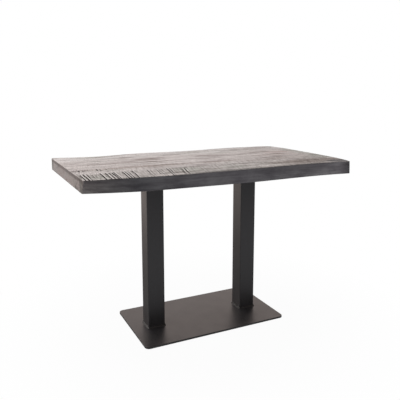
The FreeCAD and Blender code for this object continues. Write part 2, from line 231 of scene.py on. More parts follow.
world = bpy.data.worlds.new("white studio")
bpy.context.scene.world = world
world.use_nodes = True
sky = world.node_tree
sky.nodes.clear()
path = add(sky, "LightPath").outputs
towards = add(sky, "SeparateXYZ", {0: add(sky, "TexCoord").outputs["Generated"]})
dimmed = add(sky, "MapRange", {"Value": towards.outputs["Y"], **DIM_SIDE})
fill = add(sky, "Background", {"Color": WHITE, "Strength": FILL_LIGHT})
mirrored = add(sky, "Background", {"Color": WARM_WHITE, "Strength": dimmed.outputs[0]})
backdrop = add(sky, "Background", {"Color": WHITE, "Strength": 1.0})
bent = add(sky, "Math", {0: path["Is Glossy Ray"], 1: path["Is Transmission Ray"]}, operation="MAXIMUM")
lit = add(sky, "MixShader", {0: bent.outputs[0], 1: fill.outputs[0], 2: mirrored.outputs[0]})
seen = add(sky, "MixShader", {0: path["Is Camera Ray"], 1: lit.outputs[0], 2: backdrop.outputs[0]})
add(sky, "OutputWorld", {"Surface": seen.outputs[0]})

bpy.ops.object.select_all(action="DESELECT")
bpy.ops.mesh.primitive_plane_add(size=FLOOR_SIZE)
floor = bpy.context.object
floor.name = "floor"
floor_paint, paint = new_material("pale painted floor")
path = add(paint, "LightPath").outputs
bent = add(paint, "Math", {0: path["Is Glossy Ray"], 1: path["Is Transmission Ray"]}, operation="MAXIMUM")
place = add(paint, "TexCoord").outputs["Object"]
matt = add(paint, "BsdfDiffuse", {"Color": colour("#BBBBBC")})
away = add(paint, "VectorMath", {0: place}, operation="LENGTH")
reach = add(paint, "MapRange", {"Value": away.outputs["Value"], **GLOW_FOR_CAMERA})
share = add(paint, "Math", {0: path["Is Camera Ray"], 1: reach.outputs[0]}, operation="MULTIPLY")
glow = add(paint, "Emission", {"Color": WHITE, "Strength": 1.0})
shown = add(paint, "MixShader", {0: share.outputs[0], 1: matt.outputs[0], 2: glow.outputs[0]})
across = add(paint, "SeparateXYZ", {0: place}).outputs["Y"]
rows = add(paint, "MapRange", {"Value": across, **MIRRORED_ROWS})
tones = add(paint, "ValToRGB", {"Fac": rows.outputs[0]}, stops=MIRRORED_TONES)
mirrored = add(paint, "Emission", {"Color": tones.outputs[0], "Strength": 1.0})
whole = add(paint, "MixShader", {0: bent.outputs[0], 1: shown.outputs[0], 2: mirrored.outputs[0]})
add(paint, "OutputMaterial", {"Surface": whole.outputs[0]})
floor.data.materials.append(floor_paint)


def softbox(name, place, aim, size, watts):
    """A large square lamp that points from its place at the aim."""
    lamp = bpy.data.lights.new(name, "AREA")
    lamp.size = size
    lamp.energy = watts
    box = bpy.data.objects.new(name, lamp)
    box.location = place
    box.rotation_euler = (Vector(aim) - Vector(place)).to_track_quat("-Z", "Y").to_euler()
    box.visible_camera = False
    bpy.context.scene.collection.objects.link(box)
    print(name, "lamp:", watts, "W over", size, "m")


softbox("overhead", (-0.5, 0.6, 2.8), (0.0, 0, 0.7), 2.2, 42)
softbox("left", (-2.6, 1.1, 1.3), (-0.2, 0, 0.6), 1.6, 28)

bpy.context.scene.view_settings.view_transform = "Standard"

# %% [markdown]
# The planks
#
# The top is glued up from five planks. On the real one a saw has left its marks across the planks, deep on
# the front one and hardly any at the back, and dark stain has settled in them. Bump in the material would
# fake that from one side only, so the marks are carved. A fine grid is laid over a plank and pressed down
# where the saw went, given a skirt so that it becomes a closed block, and the block and the plank's own
# outline are then intersected: what is left is the plank with a carved face, and its edges and corners are
# as they were.

# %% Pressing a pattern into a piece
def press_in(piece, weights, depth, direction="Z"):
    """Lowers each point by its weight, 0 to 1, times the depth: a Displace modifier on a vertex group."""
    group = piece.vertex_groups.new(name="pressed")
    for index in np.flatnonzero(weights > 0.001):
        group.add([int(index)], float(weights[index]), "REPLACE")
    press = piece.modifiers.new("press", "DISPLACE")
    press.vertex_group = group.name
    press.direction = direction
    press.strength = -depth
    press.mid_level = 0.0
    select_only(piece)
    bpy.ops.object.modifier_apply(modifier=press.name)
    piece.vertex_groups.clear()


print("a pattern can now be pressed into any piece")

# %% [markdown]
# Where the saw went
#
# A band saw leaves short strokes across a plank. They come in uneven groups, lean a little, start near one
# side of the plank and run out over its front edge. The deep ones are listed one by one, since they give
# this top its character. The many light ones between them come from a seeded random generator, the same
# at every run. A drying check is the other kind of mark: a thin crack along the grain.

# %% Saw strokes and drying checks
chance = np.random.default_rng(11)
TOP_FACE = cad_box[1].z / MM
SAW_DEPTH, SAW_WANDER = 1.3, 0.7
WANDER_LENGTH, SWELL_LENGTH, RIPPLE_LENGTH, RUN_OUT = 23, 45, 6, 8
DEEP_STROKES = (
    (-596, 0.9), (-582, 1.0), (-570, 0.5), (-555, 0.35), (-542, 0.25), (-517, 0.95), (-496, 1.0),
    (-483, 0.7), (-470, 0.85), (-461, 0.9), (-427, 1.0), (-416, 0.9), (-405, 0.7), (-384, 0.85),
    (-345, 0.25), (-323, 0.6), (-311, 0.4), (-297, 0.25), (-282, 0.5), (-272, 0.45), (-262, 0.4),
    (-236, 0.75), (-225, 0.5), (-213, 0.35), (-195, 0.25), (-175, 0.5), (-160, 0.7), (-147, 0.4),
    (-128, 0.3), (-115, 0.25), (-84, 0.4), (-71, 0.3), (-52, 0.2), (-28, 0.3), (-10, 0.35),
    (4, 0.2), (36, 0.25), (62, 0.3), (98, 0.2), (130, 0.25), (177, 0.3),
)
SHORT_STROKES = (
    (-580, -60, -110, 0.48), (-565, -70, -115, 0.36), (-504, -58, -108, 0.52), (-492, -66, -116, 0.38),
    (-466, -62, -110, 0.40), (-311, -50, -84, 0.48), (-289, -58, -94, 0.42), (-167, -52, -92, 0.34),
    (-118, -66, -108, 0.38), (-22, -60, -104, 0.34), (76, -58, -96, 0.40), (111, -58, -100, 0.40),
)
LEAN_PLACES, LEANS = (-600, -470, -365, -240, -165, 600), (0.05, 0.08, 0.15, 0.20, 0.27, 0.30)


def stroke(x, start, end, depth, width, deepest):
    """A saw stroke, with its start and end across the plank in millimetres and its depth as a share.

    The strokes stand almost square to the grain at the left end of the top and lean more to the right."""
    return {"x": x, "start": start, "end": end, "depth": depth, "width": width, "deepest": deepest,
            "lean": float(np.interp(x, LEAN_PLACES, LEANS)), "phase": chance.uniform(0, 2 * math.pi)}


def deep_strokes(start, end):
    """The deep strokes across the front plank, each a little different."""
    return [stroke(x, start - chance.uniform(0, 12), end, depth * chance.uniform(0.85, 1.0),
                   chance.uniform(2.3, 3.1), start - chance.uniform(25, 95)) for x, depth in DEEP_STROKES]


def light_strokes(low, high, start, end, depth, fade):
    """Light strokes all along a plank, their depth falling by the share fade from left to right."""
    strokes = []
    x = low
    while x < high:
        along = (x - low) / (high - low)
        strokes.append(stroke(x, start - chance.uniform(0, 40), end + chance.uniform(0, 30),
                              depth * chance.uniform(0.3, 1.0) * (1 - fade * along), chance.uniform(1.3, 2.1),
                              chance.uniform(end, start)))
        x += chance.uniform(5.0, 10.5)
    return strokes


def saw_weights(x, y, strokes):
    """How deep the saw went at each place, as a share of its full depth."""
    deep = np.zeros(len(x))
    for cut in strokes:
        aside = x - cut["x"] - cut["lean"] * (y - cut["start"])
        near = np.flatnonzero(np.abs(aside) < 3 * cut["width"] + SAW_WANDER)
        along = y[near]
        wander = SAW_WANDER * np.sin(along / WANDER_LENGTH + cut["phase"])
        across = (aside[near] - wander) / cut["width"]
        ends = np.clip((cut["start"] - along) / RUN_OUT, 0, 1) * np.clip((along - cut["end"]) / RUN_OUT, 0, 1)
        fullest = np.exp(-((along - cut["deepest"]) / SWELL_LENGTH) ** 2)
        swell = 0.62 + 0.30 * fullest + 0.08 * np.sin(along / RIPPLE_LENGTH + cut["phase"])
        deep[near] = np.maximum(deep[near], cut["depth"] * swell * ends * np.exp(-across ** 4))
    return deep


def check_weights(x, y, checks):
    """How deep the drying checks are at each place: thin cracks along the grain that taper to both ends."""
    deep = np.zeros(len(x))
    for left, right, row, width, depth in checks:
        along = np.clip((x - left) / (right - left), 0, 1)
        wander = 1.5 * np.sin(along * 9 + row)
        across = (y - row - wander) / width
        deep = np.maximum(deep, depth * np.sin(np.pi * along) ** 0.7 * np.exp(-across ** 2))
    return deep


print("strokes placed by hand:", len(DEEP_STROKES) + len(SHORT_STROKES))

# %% [markdown]
# Carving one plank
#
# Each plank needs its own grid: fine along the plank where saw strokes cross it, fine across it where the
# grain runs. The grid reaches past the plank on all sides, so the intersection alone decides the outline.
# Brushed grain is a second, shallow press with a cloud texture, stretched along the plank by the scale of
# an empty.

# %% Carve a plank
GRID_MARGIN = 12.0
SKIRT = 90.0
GRAIN_RELIEF = 0.22
RIDGE_OFFSET = 4.2
RIM_STRIP, RIM_WIDTH, RIM_STAIN = 10.0, 11.0, 0.34
grain_ruler = bpy.data.objects.new("grain_ruler", None)
grain_ruler.scale = (0.30, 0.012, 0.012)
bpy.context.scene.collection.objects.link(grain_ruler)
grain_clouds = bpy.data.textures.new("brushed grain", "CLOUDS")
grain_clouds.noise_scale = 1.0


def brush_grain(piece):
    """Lowers the soft parts of the grain, never raising anything."""
    brush = piece.modifiers.new("brush", "DISPLACE")
    brush.texture = grain_clouds
    brush.texture_coords = "OBJECT"
    brush.texture_coords_object = grain_ruler
    brush.direction = "Z"
    brush.strength = GRAIN_RELIEF * MM
    brush.mid_level = 1.0
    select_only(piece)
    bpy.ops.object.modifier_apply(modifier=brush.name)


def carve_plank(node, step_x, step_y, strokes, checks, back_rim=False):
    """The plank of a node, with its face carved, its stain recorded and its outline kept."""
    low, high = (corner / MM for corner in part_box(node))
    size = high - low
    bpy.ops.object.select_all(action="DESELECT")
    bpy.ops.mesh.primitive_grid_add(
        x_subdivisions=round((size.x + 2 * GRID_MARGIN) / step_x),
        y_subdivisions=round((size.y + 2 * GRID_MARGIN) / step_y),
        size=1.0, location=((low.x + high.x) / 2 * MM, (low.y + high.y) / 2 * MM, high.z * MM))
    plank = bpy.context.object
    plank.name = f"{node}_timber"
    plank.scale = ((size.x + 2 * GRID_MARGIN) * MM, (size.y + 2 * GRID_MARGIN) * MM, 1)
    bpy.ops.object.transform_apply(location=True, rotation=True, scale=True)
    x, y = (points_of(plank)[:, :2] / MM).T
    marks = np.maximum(saw_weights(x, y, strokes), check_weights(x, y, checks))
    press_in(plank, marks, SAW_DEPTH * MM)
    brush_grain(plank)
    select_faces(plank, lambda centre, normal: True)
    with editing(plank):
        bpy.ops.mesh.region_to_loop()
        bpy.ops.mesh.extrude_edges_move(TRANSFORM_OT_translate={"value": (0, 0, -SKIRT * MM)})
        bpy.ops.mesh.edge_face_add()
        bpy.ops.mesh.select_all(action="SELECT")
        bpy.ops.mesh.normals_make_consistent(inside=False)
    blank = copy_of_node(node, f"{node}_blank")
    cut = plank.modifiers.new("outline", "BOOLEAN")
    cut.operation = "INTERSECT"
    cut.solver = "MANIFOLD"
    cut.object = blank
    select_only(plank)
    bpy.ops.object.modifier_apply(modifier=cut.name)
    bpy.data.objects.remove(blank)
    bpy.ops.object.shade_smooth_by_angle(angle=math.radians(40))
    record_marks(plank, strokes, checks, back_rim)
    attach(plank, "table")
    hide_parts(node)
    return plank


def rim_line(across, outward):
    """How near each point is to the outermost line in one direction: 1 on it, 0 a rim's width away."""
    strip = np.round((across - across.min()) / RIM_STRIP).astype(int)
    furthest = np.full(strip.max() + 1, -np.inf)
    np.maximum.at(furthest, strip, outward)
    return np.clip(1 - (furthest[strip] - outward) / RIM_WIDTH, 0, 1)


def record_marks(plank, strokes, checks, back_rim):
    """Keeps two values at each point near the carved face: how much dark stain it holds, in the marks and
    along the rims at the right and the back, and the painted highlight on the ridge to the right of a stroke."""
    x, y, z = (points_of(plank) / MM).T
    near_face = np.clip((z - TOP_FACE + 9) / 6, 0, 1)
    depth = np.maximum(saw_weights(x, y, strokes), check_weights(x, y, checks))
    # Painted highlight: a pale strip on the ridge to the right of each stroke, where light would catch it.
    ridge = np.clip(saw_weights(x - RIDGE_OFFSET, y, strokes) - depth, 0, 1)
    rim = np.maximum(rim_line(y, x), back_rim * rim_line(x, y))
    for name, values in (("stain", np.maximum(depth, RIM_STAIN * rim)), ("painted_ridge_highlight", ridge)):
        kept = plank.data.attributes.new(name, "FLOAT", "POINT")
        kept.data.foreach_set("value", (values * near_face).astype(np.float32))


LEFT, RIGHT = cad_box[0].x / MM, cad_box[1].x / MM
row = {node: tuple(corner.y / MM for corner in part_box(node)) for node in nodes if node.endswith("_board")}
fine_strokes = light_strokes(LEFT, RIGHT, row["second_board"][0] + 55, row["front_board"][0] - 40, 0.40, 0.65)
front_strokes = deep_strokes(row["front_board"][1] - 3, row["front_board"][0] - 20) + fine_strokes
second_strokes = fine_strokes + [stroke(x, start, end, depth, 3.4, (start + end) / 2)
                                 for x, start, end, depth in SHORT_STROKES]
second_strokes += light_strokes(LEFT, RIGHT, row["second_board"][1] - 6, row["second_board"][0] + 20,
                                0.32, 0.7)
middle_strokes = light_strokes(LEFT, RIGHT, row["middle_board"][1], row["middle_board"][0], 0.12, 0.4)
planks = {
    "front_board": carve_plank("front_board", 1.2, 3.5, front_strokes, ((330, 600, -215, 2.5, 0.35),)),
    "second_board": carve_plank("second_board", 1.5, 3.0, second_strokes, ((-480, -330, -70, 3.0, 0.3),)),
    "middle_board": carve_plank("middle_board", 3.0, 3.0, middle_strokes, ((-60, 90, 22, 2.2, 0.3),)),
    "fourth_board": carve_plank("fourth_board", 5.0, 2.4, [],
                                ((-525, -425, 95, 1.8, 0.5), (-440, -90, 99, 3.0, 0.3))),
    "back_board": carve_plank("back_board", 5.0, 2.4, [], ((150, 320, 262, 2.4, 0.35),), back_rim=True),
}
bpy.data.objects.remove(grain_ruler)
for name, plank in planks.items():
    print(plank.name, "has", len(plank.data.polygons), "faces")

# %% [markdown]
# Grey-washed mango wood
#
# The wood is a pinkish hardwood under a grey wash, with a matt lacquer on it. The eye sees four things:
# broad patches of warm and cool grey, darker streaks along the grain, thin pores, and dark stain in the saw
# marks. The long edges are stained charcoal, darkest on their eased upper corners, and the ends show the
# rings. Each is a noise texture stretched to its real size in millimetres, and the surface's own direction
# says which face it is on. Each plank gets its own shift, so that no streak runs across a glue line.

# %% The wood's layers
PLANK_TONES = {
    "front_board": ("#ABA5A1", "#817B78", 0.0), "second_board": ("#BEB5B2", "#A9A19D", 3.1),
    "middle_board": ("#C1B8B5", "#ADA7A5", 7.4), "fourth_board": ("#BAB1AE", "#9C9694", 12.9),
    "back_board": ("#C6C0BE", "#A5A09E", 17.3),
}
TONE_PATCHES = {
    "front_board": ((-555, -255, 75, 45, "#A09F97", 0.6), (-165, -240, 70, 75, "#B3B1AA", 0.6),
                    (50, -235, 80, 60, "#B4B1AB", 0.5), (430, -240, 240, 75, "#877B75", 0.65),
                    # The dark #6B696B patch at (565, -300) makes the front plank darker towards its right
                    # front corner.
                    (-20, -330, 230, 34, "#7E7B79", 0.7), (565, -300, 80, 45, "#6B696B", 0.8),
                    (350, -322, 190, 24, "#77716E", 0.75), (600, -170, 55, 30, "#979890", 0.5),
                    (-480, -160, 70, 9, "#DDD6D3", 0.6), (-455, -322, 16, 14, "#D2CDCA", 0.7),
                    (-374, -330, 18, 10, "#D2CDCA", 0.7)),
    "second_board": ((-330, -75, 330, 32, "#A29792", 0.8), (60, -80, 120, 25, "#A0948F", 0.6),
                     (430, -100, 170, 45, "#B2A8A3", 0.6), (595, -95, 55, 60, "#979890", 0.6)),
    "middle_board": ((-560, 20, 60, 60, "#C9C0BC", 0.5), (600, 10, 50, 90, "#A0A199", 0.45),
                     (420, 10, 150, 45, "#B8ABA7", 0.5)),
    "fourth_board": ((500, 85, 90, 40, "#B39F9B", 0.6), (600, 140, 50, 110, "#A0A199", 0.45),
                     (-480, 96, 70, 8, "#8A7F7B", 0.7)),
    "back_board": ((-430, 290, 120, 30, "#A9A69F", 0.6), (120, 280, 160, 30, "#ADA9A3", 0.5),
                   (430, 250, 120, 60, "#AEA4A0", 0.5)),
}
CHATTER_TURN = -0.18
CHATTER_SHARE = {
    "front_board": 0.5, "second_board": 0.5, "middle_board": 0.3, "fourth_board": 0.2, "back_board": 0.2,
}


def streaks(tree, place, length, width, shift, detail=3.0, turn=0.0):
    """Noise drawn out along the plank or across it, cells of the given length and width in millimetres."""
    laid = add(tree, "Mapping", {"Vector": place, "Location": (shift, shift * 2.3, shift * 0.7),
                                 "Rotation": (0, 0, turn),
                                 "Scale": (length * MM, width * MM, width * MM)}, vector_type="TEXTURE")
    return add(tree, "TexNoise", {"Vector": laid.outputs[0], "Scale": 1.0, "Detail": detail,
                                  "Roughness": 0.6}).outputs["Fac"]


def washed_face(tree, place, node):
    """The upper face: patches of tone, random and listed, then grain, pores and the saw's chatter."""
    tone, _, shift = PLANK_TONES[node]
    patches = add(tree, "ValToRGB", {"Fac": streaks(tree, place, 260, 60, shift)}, stops=(
        (0.30, colour("#938985")), (0.44, colour(tone)),
        (0.58, colour("#C6BEBB")), (0.72, colour("#A7A39D"))))
    washed = patches.outputs[0]
    ragged = streaks(tree, place, 60, 18, shift + 7)
    for x, y, half_length, half_width, patch_tone, share in TONE_PATCHES[node]:
        ruler = add(tree, "Mapping", {"Vector": place, "Location": (x * MM, y * MM, TOP_FACE * MM),
                                      "Scale": (half_length * MM, half_width * MM, 1.0)},
                    vector_type="TEXTURE")
        away = add(tree, "VectorMath", {0: ruler.outputs[0]}, operation="LENGTH")
        uneven = add(tree, "Math", {0: away.outputs["Value"], 1: ragged}, operation="ADD")
        inside = add(tree, "MapRange", {"Value": uneven.outputs[0], "From Min": 0.9, "From Max": 1.7,
                                        "To Min": share, "To Max": 0.0}, interpolation_type="SMOOTHSTEP")
        washed = add(tree, "Mix", {0: inside.outputs[0], 6: washed, 7: colour(patch_tone)},
                     data_type="RGBA").outputs[2]
    grain = add(tree, "ValToRGB", {"Fac": streaks(tree, place, 330, 14, shift + 1, 5.0)}, stops=(
        (0.33, colour("#7D7473")), (0.50, WHITE)))
    with_grain = add(tree, "Mix", {0: 0.85, 6: washed, 7: grain.outputs[0]},
                     data_type="RGBA", blend_type="MULTIPLY")
    pores = add(tree, "ValToRGB", {"Fac": streaks(tree, place, 26, 1.6, shift + 2)}, stops=(
        (0.36, colour("#98908E")), (0.46, WHITE)))
    with_pores = add(tree, "Mix", {0: 0.6, 6: with_grain.outputs[2], 7: pores.outputs[0]},
                     data_type="RGBA", blend_type="MULTIPLY")
    shaken = streaks(tree, place, 5, 70, shift + 9, turn=CHATTER_TURN)
    chatter = add(tree, "ValToRGB", {"Fac": shaken}, stops=((0.36, colour("#8A8482")), (0.56, WHITE)))
    return add(tree, "Mix", {0: CHATTER_SHARE[node], 6: with_pores.outputs[2], 7: chatter.outputs[0]},
               data_type="RGBA", blend_type="MULTIPLY").outputs[2]


EDGE_TONES = ((0.0, "#9B9694"), (0.09, "#737172"), (0.16, "#69686B"), (0.34, "#828083"), (0.74, "#868487"),
              (0.93, "#A19EA1"), (0.975, "#5C5A5C"))


def charcoal_edge(tree, place, shift):
    """The long edges: charcoal stain with the grain along them, thinner at the left corner and the right."""
    along = add(tree, "MapRange", {"Value": add(tree, "SeparateXYZ", {0: place}).outputs["X"],
                                   "From Min": LEFT * MM, "From Max": RIGHT * MM})
    shaded = add(tree, "ValToRGB", {"Fac": along.outputs[0]},
                 stops=[(share, colour(tone)) for share, tone in EDGE_TONES]).outputs[0]
    for length, width, dark in ((260, 14, "#DAD8DA"), (110, 70, "#D6D4D7")):
        layer = add(tree, "ValToRGB", {"Fac": streaks(tree, place, length, width, shift + width)}, stops=(
            (0.38, colour(dark)), (0.62, WHITE)))
        shaded = add(tree, "Mix", {0: 1.0, 6: shaded, 7: layer.outputs[0]},
                     data_type="RGBA", blend_type="MULTIPLY").outputs[2]
    return shaded


def ringed_end(tree, place, node):
    """The ends: growth rings about a heart below the plank, mottled, with a band of painted shade under the
    upper corner.
    """
    _, tone, shift = PLANK_TONES[node]
    heart = add(tree, "Mapping", {"Vector": place, "Location": (0, shift * 0.03, -0.62)})
    rings = add(tree, "TexWave", {"Vector": heart.outputs[0], "Scale": 0.314 / (7 * MM), "Distortion": 3.0,
                                  "Detail": 3.0, "Detail Scale": 2.0},
                wave_type="RINGS", rings_direction="X", wave_profile="SAW")
    blotch = add(tree, "ValToRGB", {"Fac": streaks(tree, place, 60, 55, shift + 5)}, stops=(
        (0.28, colour("#8B8984")), (0.46, colour(tone)),
        (0.60, colour("#B1A7A4")), (0.74, colour("#8E827E"))))
    ring_tone = add(tree, "ValToRGB", {"Fac": rings.outputs["Fac"]}, stops=(
        (0.0, colour("#B5ABA6")), (1.0, WHITE)))
    ringed = add(tree, "Mix", {0: 0.7, 6: blotch.outputs[0], 7: ring_tone.outputs[0]},
                 data_type="RGBA", blend_type="MULTIPLY")
    height = add(tree, "SeparateXYZ", {0: place}).outputs["Z"]
    # Painted shade: a dark band of #655C59 just below the upper corner of each end.
    painted_shade_band = add(tree, "MapRange", {"Value": height, "From Min": (TOP_FACE - 19) * MM,
                                  "From Max": (TOP_FACE - 9) * MM, "To Max": 0.62},
               interpolation_type="SMOOTHSTEP")
    return add(tree, "Mix", {0: painted_shade_band.outputs[0], 6: ringed.outputs[2], 7: colour("#655C59")},
               data_type="RGBA").outputs[2]


print("patches of tone placed by hand:", sum(len(patches) for patches in TONE_PATCHES.values()))

# %% [markdown]
# From layers to wood
#
# The direction that the surface looks in tells a point's face, edge and end apart. The layers are mixed by
# it, one over the other, and the stain in the marks comes last, so that it covers all of them.

# %% Put the wood together
TURNED_TO_END = {"From Min": 0.62, "From Max": 0.90}
TURNED_TO_EDGE = {"From Min": 0.35, "From Max": 0.75}
GATHERED_STAIN = {"From Min": 0.15, "From Max": 0.7, "To Max": 0.8}


def plank_wood(node):
    """Grey-washed mango wood, matt lacquered: hardly any gloss, streaks along X, dark edges, ringed ends."""
    shift = PLANK_TONES[node][2]
    material, tree = new_material(f"grey-washed mango wood, {node.replace('_', ' ')}")
    place = add(tree, "TexCoord").outputs["Object"]
    facing = add(tree, "SeparateXYZ", {0: add(tree, "NewGeometry").outputs["Normal"]}).outputs
    turned = []
    for axis, limits in enumerate((TURNED_TO_END, TURNED_TO_EDGE)):
        size = add(tree, "Math", {0: facing[axis]}, operation="ABSOLUTE")
        turned.append(add(tree, "MapRange", {"Value": size.outputs[0], **limits}).outputs[0])
    to_end, to_edge = turned
    face = washed_face(tree, place, node)
    # Painted highlight: the ridge beside each saw stroke is mixed towards pale #D8D1CE.
    painted_ridge_highlight = add(tree, "MapRange", {"Value": add(tree, "Attribute", attribute_name="painted_ridge_highlight").outputs["Fac"],
                                    "From Min": 0.06, "From Max": 0.60, "To Max": 0.62})
    with_ridge_highlight = add(tree, "Mix", {0: painted_ridge_highlight.outputs[0], 6: face, 7: colour("#D8D1CE")}, data_type="RGBA")
    gathered = add(tree, "MapRange", {"Value": facing["Z"], **GATHERED_STAIN})
    charcoal = charcoal_edge(tree, place, shift)
    edge = add(tree, "Mix", {0: gathered.outputs[0], 6: charcoal, 7: colour("#3E3C3E")}, data_type="RGBA")
    edged = add(tree, "Mix", {0: to_edge, 6: with_ridge_highlight.outputs[2], 7: edge.outputs[2]}, data_type="RGBA")
    rings = ringed_end(tree, place, node)
    ended = add(tree, "Mix", {0: to_end, 6: edged.outputs[2], 7: rings}, data_type="RGBA")
    soaked = add(tree, "MapRange", {"Value": add(tree, "Attribute", attribute_name="stain").outputs["Fac"],
                                    "From Min": 0.12, "From Max": 0.44})
    uneven = add(tree, "MapRange", {"Value": streaks(tree, place, 30, 6, shift + 3),
                                    "From Min": 0.3, "From Max": 0.6, "To Min": 0.70, "To Max": 1.20})
    held = add(tree, "Math", {0: soaked.outputs[0], 1: uneven.outputs[0]},
               operation="MULTIPLY", use_clamp=True)
    stained = add(tree, "Mix", {0: held.outputs[0], 6: ended.outputs[2], 7: colour("#2E2A2A")},
                  data_type="RGBA")
    fine = streaks(tree, place, 40, 1.4, shift + 6)
    bump = add(tree, "Bump", {"Height": fine, "Strength": 0.25, "Distance": 0.3 * MM})
    dull = add(tree, "MapRange", {"Value": fine, "To Min": 0.80, "To Max": 0.95})
    wood = add(tree, "BsdfPrincipled", {"Base Color": stained.outputs[2], "Roughness": dull.outputs[0],
                                        "Normal": bump.outputs[0], "IOR": 1.45, "Specular IOR Level": 0.0})
    add(tree, "OutputMaterial", {"Surface": wood.outputs[0]})
    return material


for node, plank in planks.items():
    plank.data.materials.clear()
    plank.data.materials.append(plank_wood(node))
    print(plank.name, "wears", plank.data.materials[0].name)

# %% [markdown]
# Black powder coat
#
# The steel is sprayed with a fine dry powder and baked, which leaves a tough black skin with a satin gloss
# and a faint orange peel. Black paint shows its surroundings more than its own colour, so the gloss matters
# most: it has to be wide enough to blur the columns' reflections in the base plate into soft dark pools.
# Over the rough welds the coat is duller, and darker in colour as painted shade where columns meet plates.

# %% Coat the steel
def powder_coat(where, dark, pale, smoothest, roughest):
    """Satin black powder coat: an almost black skin, orange peel of 1.5 mm cells, slightly uneven gloss."""
    material, tree = new_material(f"satin black powder coat, {where}")
    place = add(tree, "TexCoord").outputs["Object"]
    cells = add(tree, "Mapping", {"Vector": place, "Scale": [1.5 * MM] * 3}, vector_type="TEXTURE")
    peel = add(tree, "TexNoise", {"Vector": cells.outputs[0], "Scale": 1.0, "Detail": 1.0})
    clouds = add(tree, "Mapping", {"Vector": place, "Scale": (70 * MM, 70 * MM, 160 * MM)},
                 vector_type="TEXTURE")
    wiped = add(tree, "TexNoise", {"Vector": clouds.outputs[0], "Scale": 1.0, "Detail": 4.0})
    shade = add(tree, "ValToRGB", {"Fac": wiped.outputs["Fac"]}, stops=(
        (0.3, colour(dark)), (0.7, colour(pale))))
    gloss = add(tree, "MapRange", {"Value": wiped.outputs["Fac"], "From Min": 0.3, "From Max": 0.7,
                                   "To Min": smoothest, "To Max": roughest})
    bump = add(tree, "Bump", {"Height": peel.outputs["Fac"], "Strength": 0.12, "Distance": 0.1 * MM})
    coat = add(tree, "BsdfPrincipled", {"Base Color": shade.outputs[0], "Roughness": gloss.outputs[0],
                                        "Normal": bump.outputs[0], "IOR": 1.68})
    add(tree, "OutputMaterial", {"Surface": coat.outputs[0]})
    return material


black_coat = powder_coat("on flat steel", "#242325", "#2B292B", 0.34, 0.42)
# The duller gloss over the welds is the coat's own; the darker colour is painted shade in the corners where
# column and plate meet.
weld_coat_with_painted_shade = powder_coat("over the welds", "#161616", "#1D1C1C", 0.60, 0.70)
COATED = ("base_plate", "left_column", "right_column", "left_head_plate", "right_head_plate")
for node in COATED:
    for slot in nodes[node].material_slots:
        slot.material = black_coat
print("powder coated:", ", ".join(COATED))

# %% [markdown]
# Weld beads
#
# Each column is welded all round to the base plate and to its head plate. A welder lays the metal down drop
# after drop, which leaves ripples, and the powder coat covers them without hiding them. The bead starts as
# a slice of a circle, trimmed where it meets the column and the plate. A spin makes it a ring, the ring's
# four quarters are moved apart until it fits round the square column, and the ripples are pressed in.

# %% One bead
COLUMN_SIZE, COLUMN_ROUND = 80.0, 5.0
WELD_LEG, WELD_SINK = 6.0, 3.0
RING_STEPS = 28
RIPPLE_PITCH, RIPPLE_DEPTH, RIPPLE_ROW = 3.2, 0.5, 0.8


def cut_rows(piece, axis, places):
    """Cuts rows of edges round a piece, square to an axis, at these places in millimetres."""
    with editing(piece):
        for place in places:
            bpy.ops.mesh.select_all(action="SELECT")
            bpy.ops.mesh.bisect(plane_co=[place * MM * share for share in axis], plane_no=axis)


def ring_section():
    """A circle, sunk into the corner of column and plate and trimmed to the slice that shows."""
    middle = COLUMN_ROUND - WELD_SINK
    bpy.ops.object.select_all(action="DESELECT")
    bpy.ops.mesh.primitive_circle_add(vertices=40, radius=math.hypot(WELD_LEG + WELD_SINK, WELD_SINK) * MM,
                                      fill_type="NGON", location=(middle * MM, 0, -WELD_SINK * MM),
                                      rotation=(math.pi / 2, 0, 0))
    section = bpy.context.object
    bpy.ops.object.transform_apply(location=True, rotation=True, scale=True)
    with editing(section):
        for direction in ((1, 0, 0), (0, 0, 1)):
            bpy.ops.mesh.select_all(action="SELECT")
            bpy.ops.mesh.bisect(plane_co=(COLUMN_ROUND * MM, 0, 0), plane_no=direction,
                                clear_inner=True, use_fill=False)
        bpy.ops.mesh.select_all(action="SELECT")
        bpy.ops.mesh.delete(type="ONLY_FACE")
    return section


